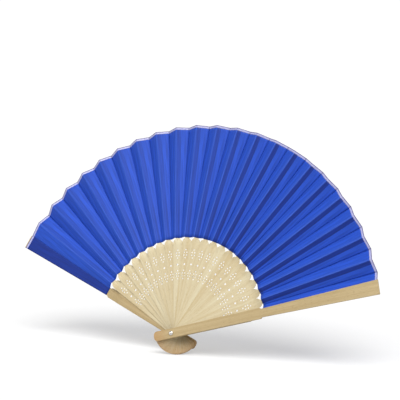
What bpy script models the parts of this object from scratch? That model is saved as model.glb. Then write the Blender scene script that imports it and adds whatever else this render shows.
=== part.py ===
"""Open folding hand fan: bamboo ribs between two guards on one rivet, under a pleated cloth leaf.

The fan stands on its pommel and leans back, +Z up, seen from the front along +Y. The origin lies
on the rivet's axis, in the plane of the front guard's inner face. A stick is modelled along its
own X axis, with Y backwards through the stack and Z across it, and is then turned about the rivet.
"""
import math

import bmesh
import bpy
from mathutils import Vector

MM = 0.001

# The spread of the fan
LEAN_DEG = 18.0
FIRST_STICK_DEG = 16.6
STICK_STEP_DEG = 6.34
RIB_COUNT = 21
LAST_STICK = RIB_COUNT + 1
GUARD_SPLAY_DEG = 0.5

# The stack of sticks on the rivet
STACK_PITCH = 0.71 * MM
RIB_THICKNESS = 0.40 * MM
SLIP_THICKNESS = 0.28 * MM

# Sticks, from the round tail below the rivet to the rim of the leaf
TAIL_LENGTH = 18.5 * MM
TAIL_HALF_WIDTH = 4.7 * MM
TAIL_ROUND = 3.5 * MM
RIB_PIVOT_HALF_WIDTH = 3.6 * MM
RIB_SHOULDER_HALF_WIDTH = 4.9 * MM
SHOULDER_START = 88.0 * MM
SHOULDER_END = 95.0 * MM
SLIP_HALF_WIDTH = 2.25 * MM
SLIP_TIP_HALF_WIDTH = 2.0 * MM
RIB_LENGTH = 206.0 * MM
TWIST_START = 86.0 * MM
TWIST_END = 96.0 * MM
TWIST_STEPS = 16

# Guards
GUARD_LENGTH = 211.0 * MM
GUARD_PIVOT_HALF_WIDTH = 4.5 * MM
GUARD_SHOULDER_HALF_WIDTH = 5.2 * MM
GUARD_STEP_RADIUS = 93.5 * MM
GUARD_NECK_HALF_WIDTH = 4.0 * MM
GUARD_TIP_HALF_WIDTH = 6.9 * MM
GUARD_STEP_LENGTH = 1.5 * MM
RECESS_START = 82.0 * MM
RECESS_END = 84.0 * MM
FRONT_GUARD_DEPTHS = (-3.0 * MM, 0.2 * MM, -1.4 * MM)    # outer face, inner face, recessed face
REAR_GUARD_DEPTHS = (18.6 * MM, 15.4 * MM, 16.7 * MM)

# Leaf: two equal pleat panels to each rib, one glued on the slip and one free
LEAF_INNER_RADIUS = 96.2 * MM
LEAF_OUTER_RADIUS = 209.5 * MM
LEAF_THICKNESS = 0.12 * MM
GLUE_GAP = 0.15 * MM
SLIP_TILT_DEG = 30.0
FOLD_FROM_AXIS = 2.8 * MM
PANEL_ANGLE = math.radians(STICK_STEP_DEG) / (2 * math.cos(math.radians(SLIP_TILT_DEG)))
PANEL_EDGE_GAP = 0.3 * MM
REAR_PANEL_EDGE_INNER = 2.5 * MM
REAR_PANEL_EDGE_OUTER = 5.5 * MM
GUARD_PANEL_MARGIN = 0.6 * MM

# Rivet
RIVET_RADIUS = 1.3 * MM
PIVOT_HOLE_RADIUS = 1.6 * MM
RIVET_HEAD_RADIUS = 2.3 * MM
RIVET_HEAD_HEIGHT = 1.3 * MM
RIVET_TAIL_RADIUS = 2.0 * MM
RIVET_TAIL_HEIGHT = 0.6 * MM
BURR_RADIUS = 2.8 * MM
BURR_THICKNESS = 0.6 * MM
RUNNING_GAP = 0.3 * MM
ROUND_SIDES = 20


def clear_scene():
    for old in list(bpy.data.objects):
        bpy.data.objects.remove(old, do_unlink=True)


def make_material(name, colour, roughness, metallic=0.0):
    material = bpy.data.materials.new(name)
    material.use_nodes = True
    shader = material.node_tree.nodes["Principled BSDF"]
    shader.inputs["Base Color"].default_value = (*colour, 1.0)
    shader.inputs["Roughness"].default_value = roughness
    shader.inputs["Metallic"].default_value = metallic
    return material


def smooth_step(value, start, end):
    """0 before start, 1 after end, with an eased rise between."""
    share = min(max((value - start) / (end - start), 0.0), 1.0)
    return share * share * (3 - 2 * share)


def between(value, start, end, at_start, at_end):
    """The straight-line value at a place between two others."""
    share = (value - start) / (end - start)
    return at_start + share * (at_end - at_start)


def finish_solid(name, bm, material):
    """Store a closed body as an object, its faces turned outwards to enclose a positive volume."""
    bmesh.ops.recalc_face_normals(bm, faces=bm.faces)
    if bm.calc_volume(signed=True) < 0:
        bmesh.ops.reverse_faces(bm, faces=bm.faces)
    mesh = bpy.data.meshes.new(name)
    bm.to_mesh(mesh)
    bm.free()
    mesh.materials.append(material)
    solid = bpy.data.objects.new(name, mesh)
    bpy.context.collection.objects.link(solid)
    return solid


def loft(name, rings, material):
    """A closed solid through rings of corner points, capped at both ends."""
    bm = bmesh.new()
    rings = [[bm.verts.new(corner) for corner in corners] for corners in rings]
    for lower, upper in zip(rings, rings[1:]):
        for i in range(len(lower)):
            bm.faces.new((lower[i - 1], lower[i], upper[i]))
            bm.faces.new((lower[i - 1], upper[i], upper[i - 1]))
    bm.faces.new(rings[0])
    bm.faces.new(rings[-1])
    return finish_solid(name, bm, material)


def stick_section(radius, half_width, front, back, tilt=0.0):
    """A stick's cross-section, with corners and mid-points, its left edge tilted forward."""
    middle = (front + back) / 2
    half_depth = (back - front) / 2
    corners = []
    for across, through in ((-1, -1), (0, -1), (1, -1), (1, 1), (0, 1), (-1, 1)):
        z = across * half_width * math.cos(tilt)
        y = middle - across * half_width * math.sin(tilt) + through * half_depth / math.cos(tilt)
        corners.append((radius, y, z))
    return corners


def tail_radii():
    """Places along the tail, close together round its end."""
    steps = [math.radians(angle) for angle in (0, 15, 35, 60, 90)]
    return [-TAIL_LENGTH + TAIL_ROUND * (1 - math.cos(step)) for step in steps]


def tail_half_width(radius, pivot_half_width):
    """The tail widens towards its end, which has round corners."""
    straight = between(radius, 0.0, -TAIL_LENGTH, pivot_half_width, TAIL_HALF_WIDTH)
    into_round = max(0.0, TAIL_ROUND - (radius + TAIL_LENGTH))
    return straight - TAIL_ROUND + math.sqrt(TAIL_ROUND**2 - into_round**2)


def place_on_rivet(solid, stand, angle_deg):
    solid.parent = stand
    solid.rotation_euler = (0.0, -math.radians(angle_deg), 0.0)


def drill_pivot_hole(solid, drill):
    hole = solid.modifiers.new("pivot_hole", "BOOLEAN")
    hole.operation = "DIFFERENCE"
    hole.solver = "EXACT"
    hole.object = drill


def rib_half_width(radius):
    if radius < 0:
        return tail_half_width(radius, RIB_PIVOT_HALF_WIDTH)
    if radius < SHOULDER_START:
        return between(radius, 0.0, SHOULDER_START, RIB_PIVOT_HALF_WIDTH, RIB_SHOULDER_HALF_WIDTH)
    if radius < SHOULDER_END:
        share = (radius - SHOULDER_START) / (SHOULDER_END - SHOULDER_START)
        drop = 1 - math.sqrt(1 - share**2)
        return RIB_SHOULDER_HALF_WIDTH - drop * (RIB_SHOULDER_HALF_WIDTH - SLIP_HALF_WIDTH)
    return between(radius, SHOULDER_END, RIB_LENGTH, SLIP_HALF_WIDTH, SLIP_TIP_HALF_WIDTH)


def make_rib(index, stand, drill, material):
    """A rib lies flat up to its shoulder, then turns into the narrow slip that carries the leaf."""
    flat = [-TAIL_LENGTH / 2, -3 * MM, 3 * MM, 40 * MM]
    twist = [between(step, 0, TWIST_STEPS, TWIST_START, TWIST_END)
             for step in range(TWIST_STEPS + 1)]
    slip = [150 * MM, RIB_LENGTH]
    rings = []
    for radius in tail_radii() + flat + twist + slip:
        turned = smooth_step(radius, TWIST_START, TWIST_END)
        thickness = RIB_THICKNESS + turned * (SLIP_THICKNESS - RIB_THICKNESS)
        middle = index * STACK_PITCH
        rings.append(stick_section(radius, rib_half_width(radius), middle - thickness / 2,
                                   middle + thickness / 2, turned * math.radians(SLIP_TILT_DEG)))
    rib = loft(f"rib_{index:02d}", rings, material)
    place_on_rivet(rib, stand, FIRST_STICK_DEG + index * STICK_STEP_DEG)
    drill_pivot_hole(rib, drill)


def guard_half_width(radius):
    if radius < 0:
        return tail_half_width(radius, GUARD_PIVOT_HALF_WIDTH)
    if radius <= GUARD_STEP_RADIUS:
        return between(radius, 0.0, GUARD_STEP_RADIUS,
                       GUARD_PIVOT_HALF_WIDTH, GUARD_SHOULDER_HALF_WIDTH)
    return between(radius, GUARD_STEP_RADIUS + GUARD_STEP_LENGTH, GUARD_LENGTH,
                   GUARD_NECK_HALF_WIDTH, GUARD_TIP_HALF_WIDTH)


def make_guard(name, depths, angle_deg, stand, drill, material):
    """A thick outer stick, whose inner face is cut back where the folded leaf lies."""
    outer, inner, recessed = depths
    rings = []
    upper = [RECESS_START, RECESS_END, GUARD_STEP_RADIUS, GUARD_STEP_RADIUS + GUARD_STEP_LENGTH,
             GUARD_LENGTH]
    for radius in tail_radii() + [-3 * MM, 3 * MM] + upper:
        inside = recessed if radius >= RECESS_END else inner
        rings.append(stick_section(radius, guard_half_width(radius),
                                   min(outer, inside), max(outer, inside)))
    guard = loft(name, rings, material)
    place_on_rivet(guard, stand, angle_deg)
    drill_pivot_hole(guard, drill)


def fan_point(stick, radius, across, depth):
    """A point given beside a stick's axis, in the fan's own plane: X right, Y backwards, Z up."""
    angle = math.radians(FIRST_STICK_DEG + stick * STICK_STEP_DEG)
    return Vector((radius * math.cos(angle) - across * math.sin(angle), depth,
                   radius * math.sin(angle) + across * math.cos(angle)))


def leaf_depth(stick):
    """The depth of the leaf where it crosses a rib's axis, glued in front of its slip."""
    tilt = math.radians(SLIP_TILT_DEG)
    return stick * STACK_PITCH - GLUE_GAP - (SLIP_THICKNESS / math.cos(tilt) + LEAF_THICKNESS) / 2


def mountain(stick, radius):
    """The fold nearest the viewer, just left of the slip."""
    if stick == 0:
        edge = between(radius, GUARD_STEP_RADIUS, GUARD_LENGTH,
                       GUARD_NECK_HALF_WIDTH, GUARD_TIP_HALF_WIDTH)
        return fan_point(0, radius, edge - radius * math.radians(GUARD_SPLAY_DEG),
                         front_panel_depth())
    tilt = math.radians(SLIP_TILT_DEG)
    return fan_point(stick, radius, FOLD_FROM_AXIS * math.cos(tilt),
                     leaf_depth(stick) - FOLD_FROM_AXIS * math.sin(tilt))


def valley(stick, radius):
    """The fold farthest from the viewer, to the right of the slip."""
    if stick == LAST_STICK:
        edge = between(radius, LEAF_INNER_RADIUS, LEAF_OUTER_RADIUS,
                       REAR_PANEL_EDGE_INNER, REAR_PANEL_EDGE_OUTER)
        return fan_point(stick, radius, -edge, rear_panel_depth())
    tilt = math.radians(SLIP_TILT_DEG)
    along = FOLD_FROM_AXIS - PANEL_ANGLE * radius
    return fan_point(stick, radius, along * math.cos(tilt),
                     leaf_depth(stick) - along * math.sin(tilt))


def front_panel_depth():
    return FRONT_GUARD_DEPTHS[2] + GLUE_GAP + LEAF_THICKNESS / 2


def rear_panel_depth():
    return REAR_GUARD_DEPTHS[2] - GLUE_GAP - LEAF_THICKNESS / 2


def guard_edge(stick, side, radius):
    """A line just inside a guard's edge, on the leaf's side of the guard."""
    splay = math.radians(GUARD_SPLAY_DEG if stick else -GUARD_SPLAY_DEG)
    half = between(radius, GUARD_STEP_RADIUS, GUARD_LENGTH,
                   GUARD_NECK_HALF_WIDTH, GUARD_TIP_HALF_WIDTH) - GUARD_PANEL_MARGIN
    depth = rear_panel_depth() if stick else front_panel_depth()
    return fan_point(stick, radius, side * half + radius * splay, depth)


def make_leaf_solid(name, lines, stand, material):
    """Thin pleat panels between fold lines, each line a function of the radius."""
    bm = bmesh.new()
    rows = []
    for radius in (LEAF_INNER_RADIUS, LEAF_OUTER_RADIUS):
        folds = [line(radius) for line in lines]
        for end, near in ((0, 1), (-1, -2)):
            inward = (folds[near] - folds[end]).normalized()
            folds[end] = folds[end] + inward * PANEL_EDGE_GAP / 2
        rows.append([bm.verts.new(fold) for fold in folds])
    inner, outer = rows
    for i in range(len(lines) - 1):
        bm.faces.new((inner[i], outer[i], outer[i + 1]))
        bm.faces.new((inner[i], outer[i + 1], inner[i + 1]))
    thickened = bmesh.ops.extrude_face_region(bm, geom=bm.faces[:])
    moved = [item for item in thickened["geom"] if isinstance(item, bmesh.types.BMVert)]
    bmesh.ops.translate(bm, verts=bm.verts, vec=(0.0, -LEAF_THICKNESS / 2, 0.0))
    bmesh.ops.translate(bm, verts=moved, vec=(0.0, LEAF_THICKNESS, 0.0))
    panel = finish_solid(name, bm, material)
    panel.parent = stand


def make_leaf(stand, material):
    """Even sticks carry a stiff panel; at odd sticks the panel and the free folds at its sides are one."""
    make_leaf_solid("leaf_panel_00", [lambda r: guard_edge(0, -1, r), lambda r: mountain(0, r)],
                    stand, material)
    for stick in range(1, LAST_STICK):
        lines = [lambda r, k=stick: valley(k, r), lambda r, k=stick: mountain(k, r)]
        name = f"leaf_panel_{stick:02d}"
        if stick % 2:
            lines = ([lambda r, k=stick - 1: mountain(k, r)] + lines
                     + [lambda r, k=stick + 1: valley(k, r)])
            name = f"leaf_fold_{stick:02d}"
        make_leaf_solid(name, lines, stand, material)
    make_leaf_solid(f"leaf_panel_{LAST_STICK:02d}",
                    [lambda r: valley(LAST_STICK, r), lambda r: guard_edge(LAST_STICK, 1, r)],
                    stand, material)


def turn_on_rivet_axis(name, profile, closed, stand, material):
    """A turned piece: a profile of (radius, depth) points spun about the rivet's axis."""
    bm = bmesh.new()
    points = [bm.verts.new((radius, depth, 0.0)) for radius, depth in profile]
    edges = [bm.edges.new(pair) for pair in zip(points, points[1:])]
    if closed:
        edges.append(bm.edges.new((points[-1], points[0])))
    bmesh.ops.spin(bm, geom=points + edges, axis=(0, 1, 0), cent=(0, 0, 0),
                   angle=2 * math.pi, steps=ROUND_SIDES, use_merge=True)
    bmesh.ops.remove_doubles(bm, verts=bm.verts, dist=0.00001)
    turned = finish_solid(name, bm, material)
    turned.data.shade_smooth()
    turned.data.set_sharp_from_angle(angle=math.radians(40))
    turned.parent = stand


def make_rivet(stand, material):
    """A domed rivet through the whole stack, closed over a loose burr behind the rear guard."""
    head_seat = FRONT_GUARD_DEPTHS[0] - RUNNING_GAP
    burr_front = REAR_GUARD_DEPTHS[0] + RUNNING_GAP
    tail_seat = burr_front + BURR_THICKNESS + RUNNING_GAP
    rise = [math.radians(angle) for angle in (90, 60, 30)]
    dome = [(RIVET_HEAD_RADIUS * math.cos(angle), head_seat - RIVET_HEAD_HEIGHT * math.sin(angle))
            for angle in rise]
    dome[0] = (0.0, head_seat - RIVET_HEAD_HEIGHT)
    profile = dome + [(RIVET_HEAD_RADIUS, head_seat), (RIVET_RADIUS, head_seat),
                      (RIVET_RADIUS, tail_seat), (RIVET_TAIL_RADIUS, tail_seat),
                      (RIVET_TAIL_RADIUS * 0.7, tail_seat + RIVET_TAIL_HEIGHT),
                      (0.0, tail_seat + RIVET_TAIL_HEIGHT)]
    turn_on_rivet_axis("rivet", profile, False, stand, material)
    ring = [(PIVOT_HOLE_RADIUS, burr_front), (BURR_RADIUS, burr_front),
            (BURR_RADIUS, burr_front + BURR_THICKNESS),
            (PIVOT_HOLE_RADIUS, burr_front + BURR_THICKNESS)]
    turn_on_rivet_axis("rivet_burr", ring, True, stand, material)


def make_drill(stand):
    """The cutter for every pivot hole, a guide that is left out of the model."""
    bpy.ops.mesh.primitive_cylinder_add(vertices=ROUND_SIDES, radius=PIVOT_HOLE_RADIUS,
                                        depth=0.08, rotation=(math.pi / 2, 0.0, 0.0))
    drill = bpy.context.object
    drill.name = "pivot_drill"
    drill.hide_render = True
    drill.display_type = "WIRE"
    drill.parent = stand
    return drill


def build_fan():
    clear_scene()
    bamboo = make_material("bamboo", (0.70, 0.55, 0.32), 0.55)
    guard_bamboo = make_material("guard_bamboo", (0.64, 0.47, 0.25), 0.5)
    leaf_cloth = make_material("leaf_cloth", (0.04, 0.10, 0.58), 0.75)
    rivet_metal = make_material("rivet_metal", (0.75, 0.75, 0.75), 0.3, 1.0)
    stand = bpy.data.objects.new("lean_back", None)
    bpy.context.collection.objects.link(stand)
    stand.rotation_euler = (-math.radians(LEAN_DEG), 0.0, 0.0)
    drill = make_drill(stand)
    make_guard("front_guard", FRONT_GUARD_DEPTHS, FIRST_STICK_DEG - GUARD_SPLAY_DEG,
               stand, drill, guard_bamboo)
    for index in range(1, LAST_STICK):
        make_rib(index, stand, drill, bamboo)
    make_guard("rear_guard", REAR_GUARD_DEPTHS,
               FIRST_STICK_DEG + LAST_STICK * STICK_STEP_DEG + GUARD_SPLAY_DEG,
               stand, drill, guard_bamboo)
    make_leaf(stand, leaf_cloth)
    make_rivet(stand, rivet_metal)


build_fan()
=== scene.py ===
"""Looks of an open folding fan: pierced bamboo ribs between two guards, under a pleated blue leaf.

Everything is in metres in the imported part's frame: X to the right, Z up, seen along +Y, with the
origin on the rivet's axis. Each stick is made lying along X, with its depth in the stack along Y
and its width along Z, and is then turned about the rivet and leant back.
"""
import math

import bmesh
import bpy
import numpy as np
from mathutils import Matrix, Vector, noise


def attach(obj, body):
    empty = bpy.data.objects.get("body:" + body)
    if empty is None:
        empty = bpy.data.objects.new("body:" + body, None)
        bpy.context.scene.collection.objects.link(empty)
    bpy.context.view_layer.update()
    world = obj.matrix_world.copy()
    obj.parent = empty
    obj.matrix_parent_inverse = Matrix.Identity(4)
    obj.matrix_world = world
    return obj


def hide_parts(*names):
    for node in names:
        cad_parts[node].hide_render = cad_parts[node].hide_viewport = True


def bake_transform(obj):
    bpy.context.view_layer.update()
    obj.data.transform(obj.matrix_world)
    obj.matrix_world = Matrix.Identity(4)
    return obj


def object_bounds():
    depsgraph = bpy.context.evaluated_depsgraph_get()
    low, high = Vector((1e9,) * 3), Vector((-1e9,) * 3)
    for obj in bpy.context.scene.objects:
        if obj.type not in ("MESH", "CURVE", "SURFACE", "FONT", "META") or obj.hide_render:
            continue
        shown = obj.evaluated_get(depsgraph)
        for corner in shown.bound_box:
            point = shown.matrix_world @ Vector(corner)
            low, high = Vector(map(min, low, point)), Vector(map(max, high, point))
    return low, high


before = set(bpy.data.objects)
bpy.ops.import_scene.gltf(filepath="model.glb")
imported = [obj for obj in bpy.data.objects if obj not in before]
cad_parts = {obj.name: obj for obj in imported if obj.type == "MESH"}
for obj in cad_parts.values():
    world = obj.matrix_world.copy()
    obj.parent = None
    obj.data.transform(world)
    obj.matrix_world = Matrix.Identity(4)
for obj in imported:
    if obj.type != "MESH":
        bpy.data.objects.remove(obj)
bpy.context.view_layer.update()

# --------------------------------------------------------------------------------------------
# Ribs. Each is one stick of pale bamboo under half a millimetre thick, planed along its fibres,
# punched with two rosettes and a dot, and sanded. Above its shoulder it narrows to a slip, which
# is turned to lie against its pleat of the leaf. The rivet goes through its foot.

MM = 0.001
LEAN = math.radians(18.0)
FIRST_ANGLE = math.radians(16.6)
STEP = math.radians(6.34)
RIB_COUNT = 21
LAST = RIB_COUNT + 1
STACK_PITCH = 0.71 * MM

RIB_THICKNESS = 0.40 * MM
SLIP_THICKNESS = 0.28 * MM
TAIL = 18.5 * MM
TAIL_HALF_WIDTH = 4.7 * MM
TAIL_ROUND = 3.5 * MM
RIB_FOOT_HALF_WIDTH = 3.6 * MM
RIB_SHOULDER_HALF_WIDTH = 4.9 * MM
SHOULDER_START = 88.0 * MM
SHOULDER_END = 95.0 * MM
SLIP_HALF_WIDTH = 2.25 * MM
SLIP_TIP_HALF_WIDTH = 2.0 * MM
RIB_LENGTH = 206.0 * MM
TWIST_START = 86.0 * MM
TWIST_END = 96.0 * MM
SLIP_TILT = math.radians(30.0)
RIVET_HOLE = 1.6 * MM
ROSETTE_PLACES = (59.5 * MM, 80.0 * MM)
ROSETTE_HOLES = ((4.0 * MM, 0.0), (1.35 * MM, 1.45 * MM), (1.35 * MM, -1.45 * MM))
PETAL_HOLE = 0.68 * MM
DOT_PLACE = 69.6 * MM
DOT_HOLE = 0.95 * MM
RIB_SANDING = 0.07 * MM


def linear(hex_colour):
    """An sRGB hex colour as linear red, green, blue and alpha."""
    values = [int(hex_colour[i:i + 2], 16) / 255 for i in (1, 3, 5)]
    return [v / 12.92 if v <= 0.04045 else ((v + 0.055) / 1.055) ** 2.4 for v in values] + [1.0]


def add_node(material, kind, inputs=(), **settings):
    """Adds a node with its own settings; inputs pairs each socket with a link or a value."""
    node = material.node_tree.nodes.new(kind)
    for name, value in settings.items():
        setattr(node, name, value)
    for name, value in dict(inputs).items():
        if isinstance(value, bpy.types.NodeSocket):
            material.node_tree.links.new(value, node.inputs[name])
        else:
            node.inputs[name].default_value = value
    return node


def new_material(name, roughness, metallic=0.0):
    material = bpy.data.materials.new(name)
    material.use_nodes = True
    shader = material.node_tree.nodes["Principled BSDF"]
    shader.inputs["Roughness"].default_value = roughness
    shader.inputs["Metallic"].default_value = metallic
    return material, shader


def planed_bamboo(name, light, dark, fleck, roughness):
    """Bamboo strip: straight fibres run the stick's whole length, with short dark vessel ends.

    The tails are painted browner towards their ends: painted shade for the stack of tails in shadow
    at the foot.
    """
    material, shader = new_material(name, roughness)
    place = add_node(material, "ShaderNodeTexCoord").outputs["UV"]

    def grain(length_mm, width_mm, detail):
        stretched = add_node(material, "ShaderNodeVectorMath", operation="MULTIPLY",
                             inputs={0: place, 1: (1000 / length_mm, 1000 / width_mm, 1.0)})
        return add_node(material, "ShaderNodeTexNoise",
                        {"Vector": stretched.outputs[0], "Scale": 1.0, "Detail": detail})

    fibres = grain(length_mm=22, width_mm=0.45, detail=2.0)
    bands = grain(length_mm=160, width_mm=3.2, detail=1.0)
    stick = grain(length_mm=900, width_mm=31, detail=0.0)
    vessels = grain(length_mm=3.2, width_mm=0.38, detail=0.0)
    first = add_node(material, "ShaderNodeMath",
                     {0: fibres.outputs["Fac"], 1: bands.outputs["Fac"]}, operation="ADD")
    second = add_node(material, "ShaderNodeMath", {0: first.outputs[0], 1: stick.outputs["Fac"]},
                      operation="ADD")
    share = add_node(material, "ShaderNodeMapRange",
                     {"Value": second.outputs[0], "From Min": 1.15, "From Max": 1.85})
    wood = add_node(material, "ShaderNodeMix",
                    {0: share.outputs[0], 6: linear(dark), 7: linear(light)}, data_type="RGBA")
    flecks = add_node(material, "ShaderNodeMapRange",
                      {"Value": vessels.outputs["Fac"], "From Min": 0.66, "From Max": 0.74,
                       "To Max": 0.35})
    colour = add_node(material, "ShaderNodeMix",
                      {0: flecks.outputs[0], 6: wood.outputs[2], 7: linear(fleck)},
                      data_type="RGBA")
    # painted shade: the tails darken to brown towards their ends, where the stack of tails lies in
    # shadow
    along = add_node(material, "ShaderNodeSeparateXYZ", {0: place})
    tail_shade = add_node(material, "ShaderNodeMapRange",
                       {"Value": along.outputs[0], "From Min": -18.5 * MM, "From Max": -2 * MM,
                        "To Min": 0.5, "To Max": 0.0})
    tail_shaded = add_node(material, "ShaderNodeMix",
                    {0: tail_shade.outputs[0], 6: colour.outputs[2], 7: linear("#b07c42")},
                    data_type="RGBA")
    material.node_tree.links.new(tail_shaded.outputs[2], shader.inputs["Base Color"])
    gloss = add_node(material, "ShaderNodeMapRange",
                     {"Value": fibres.outputs["Fac"], "From Min": 0.3, "From Max": 0.7,
                      "To Min": roughness + 0.08, "To Max": roughness - 0.08})
    material.node_tree.links.new(gloss.outputs[0], shader.inputs["Roughness"])
    relief = add_node(material, "ShaderNodeBump",
                      {"Height": fibres.outputs["Fac"], "Strength": 0.35, "Distance": 0.04 * MM})
    material.node_tree.links.new(relief.outputs[0], shader.inputs["Normal"])
    return material


def smooth_step(value, start, end):
    """0 before start, 1 after end, with an eased rise between."""
    share = min(max((value - start) / (end - start), 0.0), 1.0)
    return share * share * (3 - 2 * share)


def between(value, start, end, at_start, at_end):
    """The straight-line value at a place between two others."""
    return at_start + (value - start) / (end - start) * (at_end - at_start)


def tail_half_width(along, foot_half_width):
    """A stick widens towards its tail's end, which has round corners."""
    straight = between(along, 0.0, -TAIL, foot_half_width, TAIL_HALF_WIDTH)
    into_round = max(0.0, TAIL_ROUND - (along + TAIL))
    return straight - TAIL_ROUND + math.sqrt(max(0.0, TAIL_ROUND**2 - into_round**2))


def tail_places():
    """Places along the tail, close together where its end is round."""
    turns = [math.radians(angle) for angle in (0, 10, 20, 32, 45, 60, 75, 90)]
    return [-TAIL + TAIL_ROUND * (1 - math.cos(turn)) for turn in turns]


def rib_half_width(along):
    if along < 0:
        return tail_half_width(along, RIB_FOOT_HALF_WIDTH)
    if along < SHOULDER_START:
        return between(along, 0.0, SHOULDER_START, RIB_FOOT_HALF_WIDTH, RIB_SHOULDER_HALF_WIDTH)
    if along < SHOULDER_END:
        into_round = (along - SHOULDER_START) / (SHOULDER_END - SHOULDER_START)
        drop = 1 - math.sqrt(1 - into_round**2)
        return RIB_SHOULDER_HALF_WIDTH - drop * (RIB_SHOULDER_HALF_WIDTH - SLIP_HALF_WIDTH)
    return between(along, SHOULDER_END, RIB_LENGTH, SLIP_HALF_WIDTH, SLIP_TIP_HALF_WIDTH)


def flat_stick(places, half_width, thickness):
    """A flat strip: a grid whose cross lines are moved to the given places, then thickened."""
    bm = bmesh.new()
    bmesh.ops.create_grid(bm, x_segments=len(places) - 1, y_segments=2, size=1.0)
    for vert in bm.verts:
        along = places[round((vert.co.x + 1) / 2 * (len(places) - 1))]
        vert.co = (along, 0.0, vert.co.y * half_width(along))
    bm.normal_update()
    bmesh.ops.solidify(bm, geom=bm.faces[:], thickness=thickness)
    middle = sum(vert.co.y for vert in bm.verts) / len(bm.verts)
    bmesh.ops.translate(bm, verts=bm.verts, vec=(0.0, -middle, 0.0))
    bmesh.ops.recalc_face_normals(bm, faces=bm.faces)
    return bm


def soften_outline(bm, offset, segments=1):
    """Breaks the sharp edges all round, as sanding does."""
    sharp = [edge for edge in bm.edges if edge.calc_face_angle(0.0) > math.radians(60)]
    bmesh.ops.bevel(bm, geom=sharp, offset=offset, segments=segments, profile=0.5,
                    affect="EDGES", material=-1, clamp_overlap=True)


def punch(bm, holes):
    """Cuts round holes, each (place along, place across, radius), right through a flat stick."""
    punches = bmesh.new()
    for along, across, radius in holes:
        centre = Matrix.Translation((along, 0.0, across)) @ Matrix.Rotation(math.pi / 2, 4, "X")
        bmesh.ops.create_cone(punches, cap_ends=True, segments=14, radius1=radius, radius2=radius,
                              depth=12 * MM, matrix=centre)
    pair = []
    for name, mesh_data in (("blank", bm), ("punches", punches)):
        mesh = bpy.data.meshes.new(name)
        mesh_data.to_mesh(mesh)
        mesh_data.free()
        pair.append(bpy.data.objects.new(name, mesh))
        bpy.context.scene.collection.objects.link(pair[-1])
    cut = pair[0].modifiers.new("holes", "BOOLEAN")
    cut.operation, cut.solver, cut.object = "DIFFERENCE", "EXACT", pair[1]
    evaluated = pair[0].evaluated_get(bpy.context.evaluated_depsgraph_get())
    finished = bpy.data.meshes.new_from_object(evaluated)
    for used in pair:
        bpy.data.objects.remove(used, do_unlink=True)
    return finished


def stick_place(stick, splay=0.0):
    """The turn from a stick lying along X to its place in the open fan."""
    turn = FIRST_ANGLE + stick * STEP + splay
    return Matrix.Rotation(-LEAN, 4, "X") @ Matrix.Rotation(-turn, 4, "Y")


def lay_grain(mesh, stick):
    """A map in metres, along and across the stick, so that every stick has its own bamboo."""
    points = np.empty(len(mesh.vertices) * 3)
    mesh.vertices.foreach_get("co", points)
    corners = np.empty(len(mesh.loops), dtype=int)
    mesh.loops.foreach_get("vertex_index", corners)
    points = points.reshape(-1, 3)[corners]
    grain = mesh.uv_layers.new(name="grain")
    across = points[:, 2] + points[:, 1] + 0.037 * stick
    grain.data.foreach_set("uv", np.stack([points[:, 0], across], axis=1).ravel())


def finish_piece(name, mesh, material, place, smooth_deg=35):
    """Puts a finished mesh in its place, with the object itself left at the origin."""
    mesh.name = name
    mesh.transform(place)
    mesh.shade_smooth()
    mesh.set_sharp_from_angle(angle=math.radians(smooth_deg))
    mesh.materials.clear()
    mesh.materials.append(material)
    piece = bpy.data.objects.new(name, mesh)
    bpy.context.scene.collection.objects.link(piece)
    return piece


rib_bamboo = planed_bamboo("planed_bamboo_rib", "#d0c5a5", "#c0ad84", "#9a8258", 0.52)

twist_places = [between(step, 0, 24, TWIST_START, TWIST_END) for step in range(25)]
rib_places = tail_places() + [-9 * MM, -3 * MM, 3 * MM, 20 * MM, 40 * MM, 55 * MM, 64 * MM,
                              75 * MM] + twist_places + [120 * MM, 150 * MM, 180 * MM, RIB_LENGTH]
rib_blank = flat_stick(rib_places, rib_half_width, RIB_THICKNESS)
soften_outline(rib_blank, RIB_SANDING)

rib_holes = [(0.0, 0.0, RIVET_HOLE), (DOT_PLACE, 0.0, DOT_HOLE)]
for rosette in ROSETTE_PLACES:
    for along, across in ROSETTE_HOLES:
        rib_holes.append((rosette + along, across, PETAL_HOLE))
        rib_holes.append((rosette - along, across, PETAL_HOLE))
punched_rib = punch(rib_blank, rib_holes)

for vert in punched_rib.vertices:
    turned = smooth_step(vert.co.x, TWIST_START, TWIST_END)
    tilt = turned * SLIP_TILT
    through = vert.co.y * (1 + turned * (SLIP_THICKNESS / RIB_THICKNESS - 1))
    across = vert.co.z
    vert.co.y = through * math.cos(tilt) - across * math.sin(tilt)
    vert.co.z = across * math.cos(tilt) + through * math.sin(tilt)

for stick in range(1, LAST):
    rib_mesh = punched_rib.copy()
    lay_grain(rib_mesh, stick)
    place = stick_place(stick) @ Matrix.Translation((0.0, stick * STACK_PITCH, 0.0))
    rib = finish_piece(f"bamboo_rib_{stick:02d}", rib_mesh, rib_bamboo, place)
    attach(rib, f"rib_{stick:02d}")
    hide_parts(f"rib_{stick:02d}")

# --------------------------------------------------------------------------------------------
# Guards. The two outer sticks are thick bamboo, planed flat with lightly rounded edges. Each is
# stepped in at the leaf, widens again to its tip, and is cut back inside to clear the folded leaf.

GUARD_SPLAY = math.radians(0.5)
GUARD_LENGTH = 211.0 * MM
GUARD_FOOT_HALF_WIDTH = 4.5 * MM
GUARD_SHOULDER_HALF_WIDTH = 5.2 * MM
GUARD_STEP = 93.5 * MM
GUARD_STEP_END = 95.0 * MM
GUARD_NECK_HALF_WIDTH = 4.0 * MM
GUARD_TIP_HALF_WIDTH = 6.9 * MM
RECESS_START = 82.0 * MM
RECESS_END = 84.0 * MM
GUARD_ROUNDING = 0.35 * MM
FRONT_GUARD_FACES = (-3.0 * MM, 0.2 * MM, -1.4 * MM)
REAR_GUARD_FACES = (18.6 * MM, 15.4 * MM, 16.7 * MM)


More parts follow.
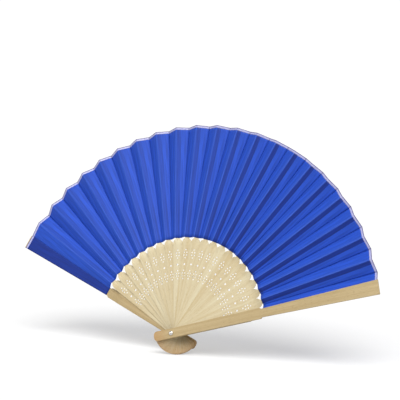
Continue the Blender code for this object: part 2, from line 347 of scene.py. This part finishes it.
def guard_half_width(along):
    if along < 0:
        return tail_half_width(along, GUARD_FOOT_HALF_WIDTH)
    if along < GUARD_STEP:
        return between(along, 0.0, GUARD_STEP, GUARD_FOOT_HALF_WIDTH, GUARD_SHOULDER_HALF_WIDTH)
    wide = between(along, GUARD_STEP_END, GUARD_LENGTH, GUARD_NECK_HALF_WIDTH,
                   GUARD_TIP_HALF_WIDTH)
    into_step = smooth_step(along, GUARD_STEP, GUARD_STEP_END)
    return GUARD_SHOULDER_HALF_WIDTH + into_step * (wide - GUARD_SHOULDER_HALF_WIDTH)


guard_bamboo = planed_bamboo("planed_bamboo_guard", "#b9a47a", "#a48d60", "#7d653e", 0.48)
guard_places = tail_places() + [-6 * MM, 6 * MM, 40 * MM, 70 * MM, RECESS_START, RECESS_END]
guard_places += [between(step, 0, 5, GUARD_STEP, GUARD_STEP_END) for step in range(6)]
guard_places += [130 * MM, 170 * MM, GUARD_LENGTH]

for node, stick, splay, faces in (("front_guard", 0, -GUARD_SPLAY, FRONT_GUARD_FACES),
                                  ("rear_guard", LAST, GUARD_SPLAY, REAR_GUARD_FACES)):
    outer, inner, recessed = faces
    blank = flat_stick(guard_places, guard_half_width, 1.0 * MM)
    for vert in blank.verts:
        inside = recessed if vert.co.x > RECESS_END - 0.1 * MM else inner
        is_inside = (vert.co.y > 0) == (inner > outer)
        vert.co.y = inside if is_inside else outer
    soften_outline(blank, GUARD_ROUNDING, segments=3)
    guard_mesh = punch(blank, [(0.0, 0.0, RIVET_HOLE)])
    lay_grain(guard_mesh, stick)
    guard = finish_piece(f"bamboo_{node}", guard_mesh, guard_bamboo, stick_place(stick, splay))
    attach(guard, node)
    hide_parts(node)

# --------------------------------------------------------------------------------------------
# Leaf. One sheet of thin royal-blue polyester, plain woven, pleated with heat and glued to the
# front of the slips and to the inner faces of the guards. It is cut here along its folds: each
# glued panel goes with its stick, and each free one folds between two sticks.

LEAF_INNER = 96.2 * MM
LEAF_OUTER = 209.5 * MM
LEAF_THICKNESS = 0.14 * MM
CAD_LEAF_THICKNESS = 0.12 * MM
GLUE_GAP = 0.15 * MM
FRONT_GLUE_GAP = 0.04 * MM
FOLD_FROM_AXIS = 2.8 * MM
PANEL_ANGLE = STEP / (2 * math.cos(SLIP_TILT))
REAR_EDGE_INNER = 2.5 * MM
REAR_EDGE_OUTER = 5.5 * MM
GUARD_MARGIN = 0.5 * MM
REAR_GUARD_MARGIN = 0.1 * MM
THREAD = 0.5 * MM
CELLS_ALONG = 28
CELLS_ACROSS = 10
GLUED_BOW = 0.5 * MM
FREE_BOW = 0.45 * MM
FAR_FROM_FOLD = 9.0
# how the painted shade over the slips lightens across the fan, stick by stick
SLIP_SHADE_FADES_FROM = 7
SLIP_SHADE_FADES_TO = 15
SLIP_SHADE_LOST = 0.62
BODIES = ["front_guard"] + [f"rib_{stick:02d}" for stick in range(1, LAST)] + ["rear_guard"]


def fan_point(stick, along, across, depth):
    return stick_place(stick) @ Vector((along, depth, across))


def leaf_depth(stick):
    """Where the leaf crosses a rib's axis, glued in front of its slip: the CAD leaf's own place."""
    return (stick * STACK_PITCH - GLUE_GAP
            - (SLIP_THICKNESS / math.cos(SLIP_TILT) + CAD_LEAF_THICKNESS) / 2)


def guard_leaf_depth(stick):
    """Where the leaf lies on the cut-back face of the front guard or of the rear one."""
    if stick == 0:
        return FRONT_GUARD_FACES[2] + FRONT_GLUE_GAP + LEAF_THICKNESS / 2
    return REAR_GUARD_FACES[2] - GLUE_GAP - LEAF_THICKNESS / 2


def guard_edge(stick, side, along, margin=GUARD_MARGIN):
    splay = GUARD_SPLAY if stick else -GUARD_SPLAY
    half = between(along, GUARD_STEP_END, GUARD_LENGTH, GUARD_NECK_HALF_WIDTH,
                   GUARD_TIP_HALF_WIDTH) - margin
    return fan_point(stick, along, side * half + along * splay, guard_leaf_depth(stick))


def on_slip(stick, along, from_axis):
    """A point of the leaf where it lies on the slip's plane, from_axis measured in the cloth."""
    return fan_point(stick, along, from_axis * math.cos(SLIP_TILT),
                     leaf_depth(stick) - from_axis * math.sin(SLIP_TILT))


def mountain(stick, along):
    """The fold nearest the viewer, just left of the slip."""
    if stick == 0:
        return fan_point(0, along, FOLD_FROM_AXIS * math.cos(SLIP_TILT), guard_leaf_depth(0))
    return on_slip(stick, along, FOLD_FROM_AXIS)


def valley(stick, along):
    """The fold farthest from the viewer, to the right of the slip."""
    if stick == LAST:
        edge = between(along, LEAF_INNER, LEAF_OUTER, REAR_EDGE_INNER, REAR_EDGE_OUTER)
        return fan_point(LAST, along, -edge, guard_leaf_depth(LAST))
    return on_slip(stick, along, FOLD_FROM_AXIS - PANEL_ANGLE * along)


def pleat_mesh(first_fold, second_fold, start, end, cells_along, cells_across, bow):
    """A grid laid between two folds, bowed a little as thin cloth is, with the cloth's own map.

    shares holds how far each point is from the first fold to the second.
    """
    bm = bmesh.new()
    bmesh.ops.create_grid(bm, x_segments=cells_along, y_segments=cells_across, size=1.0)
    share_of = bm.verts.layers.float.new("share")
    cloth = bm.loops.layers.uv.new("cloth")
    places = {}
    for vert in bm.verts:
        along = between(vert.co.x, -1, 1, start, end)
        share = (vert.co.y + 1) / 2
        first, second = first_fold(along), second_fold(along)
        width = (second - first).length
        lift = bow(share, along)
        vert.co = first.lerp(second, share) + stick_place(0) @ Vector((0.0, lift, 0.0))
        vert[share_of] = share
        places[vert] = (share * width, along)
    for face in bm.faces:
        for loop in face.loops:
            loop[cloth].uv = places[loop.vert]
    mesh = bpy.data.meshes.new("pleat")
    bm.to_mesh(mesh)
    bm.free()
    return mesh


def number_points(mesh, name, value):
    """Stores one number at every point, for the material to read."""
    attribute = mesh.attributes.new(name, "FLOAT", "POINT")
    values = np.asarray(value, dtype=np.float32)
    attribute.data.foreach_set("value", np.broadcast_to(values, len(mesh.vertices)).copy())


def shares_of(mesh):
    shares = np.empty(len(mesh.vertices), dtype=np.float32)
    mesh.attributes["share"].data.foreach_get("value", shares)
    return shares


def leaf_piece(name, mesh, material, thickness):
    piece = finish_piece(name, mesh, material, Matrix.Identity(4))
    thicken = piece.modifiers.new("cloth", "SOLIDIFY")
    thicken.thickness = thickness
    thicken.offset = 0.0
    return piece


def fold_between(piece):
    """Bakes a free panel's place into its mesh, leaving it on no stick.

    Its folds spread towards the rim, so the bend is no wider than the panel's inner end: that
    keeps each whole fold with its own stick.
    """
    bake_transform(piece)


def woven_polyester(name, colour, shade_over_slip, fold_highlight_colour):
    """Dyed polyester: a fine plain weave with a soft sheen, thin enough to let light through.

    The slip behind stops that light; that shade is painted into the colour where the cloth lies on
    a slip or a guard, full on the first sticks and lighter from the seventh to the fifteenth, as
    the light falls across the leaf. A pale painted highlight runs along the mountain folds.
    """
    material, shader = new_material(name, 0.6)
    place = add_node(material, "ShaderNodeTexCoord").outputs["UV"]
    backed = add_node(material, "ShaderNodeAttribute", attribute_name="from_slip")
    on_stick = add_node(material, "ShaderNodeMapRange",
                        {"Value": backed.outputs["Fac"], "From Min": 1.85, "From Max": 2.2,
                         "To Min": 1.0, "To Max": 0.0})
    # painted shade: cloth lying on a slip or a guard is darkened in colour, less so across the fan
    # as the light falls
    slip_shade_fade = add_node(material, "ShaderNodeAttribute", attribute_name="slip_shade_fade")
    backed_shade = add_node(material, "ShaderNodeMath",
                     {0: on_stick.outputs[0], 1: slip_shade_fade.outputs["Fac"]}, operation="MULTIPLY")
    # painted highlight: a pale line along the mountain folds, where light catches the rounded fold
    fold = add_node(material, "ShaderNodeAttribute", attribute_name="from_fold")
    fold_highlight = add_node(material, "ShaderNodeMapRange",
                       {"Value": fold.outputs["Fac"], "From Min": 0.1, "From Max": 0.9,
                        "To Min": 0.20, "To Max": 0.0})
    streaked = add_node(material, "ShaderNodeVectorMath", operation="MULTIPLY",
                        inputs={0: place, 1: (700.0, 30.0, 1.0)})
    streaks = add_node(material, "ShaderNodeTexNoise",
                       {"Vector": streaked.outputs[0], "Scale": 1.0, "Detail": 3.0})
    tone = add_node(material, "ShaderNodeMapRange",
                    {"Value": streaks.outputs["Fac"], "From Min": 0.3, "From Max": 0.7,
                     "To Min": 0.80, "To Max": 1.18})
    # painted shade: the cloth's colour is mixed towards dark blue over the slips and guards
    free = add_node(material, "ShaderNodeMix",
                    {0: backed_shade.outputs[0], 6: linear(colour), 7: linear(shade_over_slip)},
                    data_type="RGBA")
    folded = add_node(material, "ShaderNodeMix",
                      {0: fold_highlight.outputs[0], 6: free.outputs[2], 7: linear(fold_highlight_colour)},
                      data_type="RGBA")

    # the real threads are a fifth of a millimetre apart, drawn here at half a millimetre
    fine = add_node(material, "ShaderNodeVectorMath", operation="SCALE",
                    inputs={0: place, 3: math.pi / THREAD})
    threads = add_node(material, "ShaderNodeSeparateXYZ", {0: fine.outputs[0]})
    warp = add_node(material, "ShaderNodeMath", {0: threads.outputs[0]}, operation="SINE")
    weft = add_node(material, "ShaderNodeMath", {0: threads.outputs[1]}, operation="SINE")
    weave = add_node(material, "ShaderNodeMath", {0: warp.outputs[0], 1: weft.outputs[0]},
                     operation="MULTIPLY")
    relief = add_node(material, "ShaderNodeBump",
                      {"Height": weave.outputs[0], "Strength": 0.3, "Distance": 0.05 * MM})
    material.node_tree.links.new(relief.outputs[0], shader.inputs["Normal"])
    thread_tone = add_node(material, "ShaderNodeMapRange",
                           {"Value": weave.outputs[0], "From Min": -1.0, "From Max": 1.0,
                            "To Min": 0.9, "To Max": 1.1})
    whole_tone = add_node(material, "ShaderNodeMath",
                          {0: tone.outputs[0], 1: thread_tone.outputs[0]}, operation="MULTIPLY")
    dyed = add_node(material, "ShaderNodeVectorMath", operation="SCALE",
                    inputs={0: folded.outputs[2], 3: whole_tone.outputs[0]})
    material.node_tree.links.new(dyed.outputs[0], shader.inputs["Base Color"])
    shader.inputs["Specular IOR Level"].default_value = 0.3
    shader.inputs["Sheen Weight"].default_value = 0.05
    shader.inputs["Sheen Tint"].default_value = linear("#9db4ff")

    glow = add_node(material, "ShaderNodeBsdfTranslucent",
                    {"Color": dyed.outputs[0], "Normal": relief.outputs[0]})
    through = add_node(material, "ShaderNodeMapRange",
                       {"Value": backed_shade.outputs[0], "To Min": 0.16, "To Max": 0.0})
    both = add_node(material, "ShaderNodeMixShader",
                    {0: through.outputs[0], 1: shader.outputs[0], 2: glow.outputs[0]})
    output = material.node_tree.nodes["Material Output"]
    material.node_tree.links.new(both.outputs[0], output.inputs["Surface"])
    return material


def panel_plan(kind, stick):
    """A panel's first and second folds, and how it bows between them.

    Glued panels lie flat on the slip and curve a little in the strip beside it; free ones curve
    over their whole width.
    """
    def glued_bow(share, along):
        free_from = (FOLD_FROM_AXIS + SLIP_HALF_WIDTH) / (PANEL_ANGLE * along)
        free = max(0.0, (share - free_from) / (1 - free_from))
        wander = noise.noise(Vector((stick * 3.7, along * 18, 0.0)))
        return -GLUED_BOW * wander * math.sin(math.pi * free)

    def free_bow(share, along):
        wander = noise.noise(Vector((stick * 5.3 + 40, along * 14, 0.0)))
        return -FREE_BOW * wander * math.sin(math.pi * share)

    def no_bow(share, along):
        return 0.0

    if kind == "free":
        return (lambda r: mountain(stick, r)), (lambda r: valley(stick + 1, r)), free_bow
    if stick == 0:
        return (lambda r: mountain(0, r)), (lambda r: guard_edge(0, -1, r)), no_bow
    if stick == LAST:
        return ((lambda r: guard_edge(LAST, 1, r, margin=REAR_GUARD_MARGIN)),
                (lambda r: valley(LAST, r)), no_bow)
    return (lambda r: mountain(stick, r)), (lambda r: valley(stick, r)), glued_bow


PANELS = [("glued", stick) for stick in range(LAST + 1)]
PANELS += [("free", stick) for stick in range(LAST)]
# third colour: painted shade over the slips and guards; fourth: painted highlight along the
# mountain folds
leaf_cloth = woven_polyester("woven_polyester_royal_blue", "#2652c4", "#082a82", "#6687e0")
for kind, stick in PANELS:
    at_guard = kind == "glued" and stick in (0, LAST)
    first_fold, second_fold, bow = panel_plan(kind, stick)
    mesh = pleat_mesh(first_fold, second_fold, LEAF_INNER, LEAF_OUTER, CELLS_ALONG, CELLS_ACROSS,
                      bow)
    radii = np.empty(len(mesh.vertices) * 3)
    mesh.vertices.foreach_get("co", radii)
    across = shares_of(mesh) * PANEL_ANGLE * np.linalg.norm(radii.reshape(-1, 3), axis=1) / MM
    if at_guard:
        from_slip, from_fold = 0.0, FAR_FROM_FOLD
    elif kind == "glued":
        from_slip, from_fold = np.abs(across - FOLD_FROM_AXIS / MM), across
    else:
        from_slip, from_fold = FAR_FROM_FOLD, (across if stick else FAR_FROM_FOLD)
    number_points(mesh, "from_slip", from_slip)
    number_points(mesh, "from_fold", from_fold)
    # painted shade over the slips: full on the first sticks and the rear guard, lighter from the
    # seventh stick to the fifteenth
    fading = smooth_step(stick, SLIP_SHADE_FADES_FROM, SLIP_SHADE_FADES_TO) * (stick < LAST)
    number_points(mesh, "slip_shade_fade", 1.0 - SLIP_SHADE_LOST * fading)
    panel = leaf_piece(f"leaf_{kind}_{stick:02d}", mesh, leaf_cloth, LEAF_THICKNESS)
    if kind == "free":
        fold_between(panel)
    else:
        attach(panel, BODIES[stick])
        cad_panel = "leaf_fold" if stick % 2 and not at_guard else "leaf_panel"
        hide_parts(f"{cad_panel}_{stick:02d}")

# --------------------------------------------------------------------------------------------
# Edge binding. A narrow ribbon of silvery-lavender satin, folded over the leaf's rim and stuck
# down on both faces before the leaf was pleated, so that it is folded with it.

BINDING_INNER = 207.3 * MM
BINDING_OUTER = 209.8 * MM
BINDING_THICKNESS = 0.28 * MM
BINDING_CELLS_ALONG = 3


def satin_ribbon(name, colour, shade, fold):
    """Satin polyester ribbon: close bright threads along its length, so a long soft shine.

    The ribbon turns darker over the last millimetre at the rim.
    """
    material, shader = new_material(name, 0.38)
    place = add_node(material, "ShaderNodeTexCoord").outputs["UV"]
    stretched = add_node(material, "ShaderNodeVectorMath", operation="MULTIPLY",
                         inputs={0: place, 1: (300.0, 2400.0, 1.0)})
    threads = add_node(material, "ShaderNodeTexNoise",
                       {"Vector": stretched.outputs[0], "Scale": 1.0, "Detail": 2.0})
    tone = add_node(material, "ShaderNodeMapRange",
                    {"Value": threads.outputs["Fac"], "From Min": 0.3, "From Max": 0.7})
    ribbon = add_node(material, "ShaderNodeMix",
                      {0: tone.outputs[0], 6: linear(shade), 7: linear(colour)},
                      data_type="RGBA")
    along = add_node(material, "ShaderNodeSeparateXYZ", {0: place})
    at_rim = add_node(material, "ShaderNodeMapRange",
                      {"Value": along.outputs[1], "From Min": 208.7 * MM, "From Max": 209.2 * MM})
    edged = add_node(material, "ShaderNodeMix",
                     {0: at_rim.outputs[0], 6: ribbon.outputs[2], 7: linear(fold)},
                     data_type="RGBA")
    material.node_tree.links.new(edged.outputs[2], shader.inputs["Base Color"])
    relief = add_node(material, "ShaderNodeBump",
                      {"Height": threads.outputs["Fac"], "Strength": 0.3, "Distance": 0.05 * MM})
    material.node_tree.links.new(relief.outputs[0], shader.inputs["Normal"])
    shader.inputs["Sheen Weight"].default_value = 0.2
    return material


binding_satin = satin_ribbon("satin_ribbon_lavender", "#c2c4ee", "#9a98c4", "#6d6890")
for kind, stick in PANELS:
    first_fold, second_fold, bow = panel_plan(kind, stick)
    mesh = pleat_mesh(first_fold, second_fold, BINDING_INNER, BINDING_OUTER, BINDING_CELLS_ALONG,
                      CELLS_ACROSS, bow)
    binding = leaf_piece(f"binding_{kind}_{stick:02d}", mesh, binding_satin, BINDING_THICKNESS)
    if kind == "free":
        fold_between(binding)
    else:
        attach(binding, BODIES[stick])
    widths = [(first_fold(along) - second_fold(along)).length
              for along in (LEAF_INNER, LEAF_OUTER)]

# --------------------------------------------------------------------------------------------
# Rivet. A bright nickel-plated pin with a low domed head, closed at the back over a small washer.

RIVET_HEAD = 2.3 * MM
RIVET_HEAD_HEIGHT = 1.3 * MM
RIVET_SHANK = 1.3 * MM
RIVET_TAIL = 2.0 * MM
RIVET_TAIL_HEIGHT = 0.6 * MM
BURR_RADIUS = 2.8 * MM
BURR_THICKNESS = 0.6 * MM
RUNNING_GAP = 0.3 * MM


def turned_piece(name, profile, closed, material, node):
    """A profile of (radius, depth) points spun about the rivet's axis."""
    bm = bmesh.new()
    points = [bm.verts.new((radius, depth, 0.0)) for radius, depth in profile]
    edges = [bm.edges.new(pair) for pair in zip(points, points[1:])]
    if closed:
        edges.append(bm.edges.new((points[-1], points[0])))
    bmesh.ops.spin(bm, geom=points + edges, axis=(0, 1, 0), cent=(0, 0, 0),
                   angle=2 * math.pi, steps=48, use_merge=True)
    bmesh.ops.remove_doubles(bm, verts=bm.verts, dist=0.001 * MM)
    bmesh.ops.recalc_face_normals(bm, faces=bm.faces)
    mesh = bpy.data.meshes.new(name)
    bm.to_mesh(mesh)
    bm.free()
    piece = finish_piece(name, mesh, material, Matrix.Rotation(-LEAN, 4, "X"))
    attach(piece, "front_guard")
    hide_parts(node)


def plated_nickel(name):
    """Nickel plate on a struck steel head: bright, with fine tumbling scratches."""
    material, shader = new_material(name, 0.22, metallic=1.0)
    place = add_node(material, "ShaderNodeTexCoord").outputs["Object"]
    scratches = add_node(material, "ShaderNodeTexNoise",
                         {"Vector": place, "Scale": 3000.0, "Detail": 3.0})
    colour = add_node(material, "ShaderNodeMix",
                      {0: scratches.outputs["Fac"], 6: linear("#f4f2ee"), 7: linear("#dcd9d2")},
                      data_type="RGBA")
    material.node_tree.links.new(colour.outputs[2], shader.inputs["Base Color"])
    gloss = add_node(material, "ShaderNodeMapRange",
                     {"Value": scratches.outputs["Fac"], "To Min": 0.14, "To Max": 0.34})
    material.node_tree.links.new(gloss.outputs[0], shader.inputs["Roughness"])
    return material


rivet_nickel = plated_nickel("plated_nickel_rivet")
head_seat = FRONT_GUARD_FACES[0] - RUNNING_GAP
burr_front = REAR_GUARD_FACES[0] + RUNNING_GAP
tail_seat = burr_front + BURR_THICKNESS + RUNNING_GAP
dome = [(RIVET_HEAD * math.cos(math.radians(angle)),
         head_seat - RIVET_HEAD_HEIGHT * math.sin(math.radians(angle)))
        for angle in (90, 75, 60, 45, 30, 15, 0)]
dome[0] = (0.0, head_seat - RIVET_HEAD_HEIGHT)
turned_piece("nickel_rivet",
             dome + [(RIVET_SHANK, head_seat), (RIVET_SHANK, tail_seat), (RIVET_TAIL, tail_seat),
                     (RIVET_TAIL * 0.95, tail_seat + RIVET_TAIL_HEIGHT * 0.5),
                     (RIVET_TAIL * 0.7, tail_seat + RIVET_TAIL_HEIGHT),
                     (0.0, tail_seat + RIVET_TAIL_HEIGHT)], False, rivet_nickel, "rivet")
turned_piece("nickel_burr",
             [(RIVET_HOLE, burr_front), (BURR_RADIUS, burr_front),
              (BURR_RADIUS, burr_front + BURR_THICKNESS * 0.7),
              (BURR_RADIUS - 0.2 * MM, burr_front + BURR_THICKNESS),
              (RIVET_HOLE, burr_front + BURR_THICKNESS)], True, rivet_nickel, "rivet_burr")

# --------------------------------------------------------------------------------------------
# Stage: a white floor that the tails rest on, a broad soft light from above and in front, a weak
# one from the left, and the camera a little to the right of the fan and just above it. The floor
# and the surroundings look brighter to the camera than they light the fan, so shadows stay pale.

FLOOR_GLOW = 0.37
LIGHT_FROM_AROUND = 0.42
SURROUNDINGS_SEEN = 1.05
FLOOR_HALF_WIDTH = 6.0

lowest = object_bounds()[0]
floor_mesh = bpy.data.meshes.new("floor")
bm = bmesh.new()
bmesh.ops.create_grid(bm, x_segments=1, y_segments=1, size=FLOOR_HALF_WIDTH)
bmesh.ops.translate(bm, verts=bm.verts, vec=(0.0, 0.0, lowest.z))
bm.to_mesh(floor_mesh)
bm.free()
floor = bpy.data.objects.new("floor", floor_mesh)
bpy.context.scene.collection.objects.link(floor)
floor_white, floor_shader = new_material("matt_white_floor", 0.9)
floor_shader.inputs["Base Color"].default_value = linear("#cacaca")
floor_shader.inputs["Emission Color"].default_value = linear("#ffffff")
glow = add_node(floor_white, "ShaderNodeMapRange",
                {"Value": add_node(floor_white, "ShaderNodeLightPath").outputs["Is Camera Ray"],
                 "To Max": FLOOR_GLOW})
floor_white.node_tree.links.new(glow.outputs[0], floor_shader.inputs["Emission Strength"])
floor_mesh.materials.append(floor_white)

world = bpy.data.worlds.new("white_studio")
world.use_nodes = True
background = world.node_tree.nodes["Background"]
seen = world.node_tree.nodes.new("ShaderNodeLightPath")
strength = world.node_tree.nodes.new("ShaderNodeMapRange")
strength.inputs["To Min"].default_value = LIGHT_FROM_AROUND
strength.inputs["To Max"].default_value = SURROUNDINGS_SEEN
world.node_tree.links.new(seen.outputs["Is Camera Ray"], strength.inputs["Value"])
world.node_tree.links.new(strength.outputs[0], background.inputs["Strength"])
background.inputs["Color"].default_value = (1.0, 1.0, 1.0, 1.0)
bpy.context.scene.world = world


def soft_light(name, direction, spread_deg, strength):
    """A broad, even light from far away in the given direction."""
    lamp = bpy.data.lights.new(name, "SUN")
    lamp.angle = math.radians(spread_deg)
    lamp.energy = strength
    light = bpy.data.objects.new(name, lamp)
    bpy.context.scene.collection.objects.link(light)
    light.rotation_euler = Vector(direction).to_track_quat("Z", "Y").to_euler()


soft_light("key_from_above", (0.35, -0.52, 0.79), 45, 2.75)
soft_light("fill_from_the_left", (-0.60, -0.70, 0.45), 40, 0.45)

camera_data = bpy.data.cameras.new("camera")
camera_data.lens = 134.42
camera = bpy.data.objects.new("camera", camera_data)
bpy.context.scene.collection.objects.link(camera)
camera.location = (0.68177, -1.23554, 0.23555)
azimuth, elevation, roll = (math.radians(angle) for angle in (27.835, 4.362, 0.135))
camera.rotation_euler = (Matrix.Rotation(azimuth, 3, "Z")
                         @ Matrix.Rotation(math.pi / 2 - elevation, 3, "X")
                         @ Matrix.Rotation(roll, 3, "Z")).to_euler()
bpy.context.scene.camera = camera
bpy.context.scene.view_settings.view_transform = "Standard"
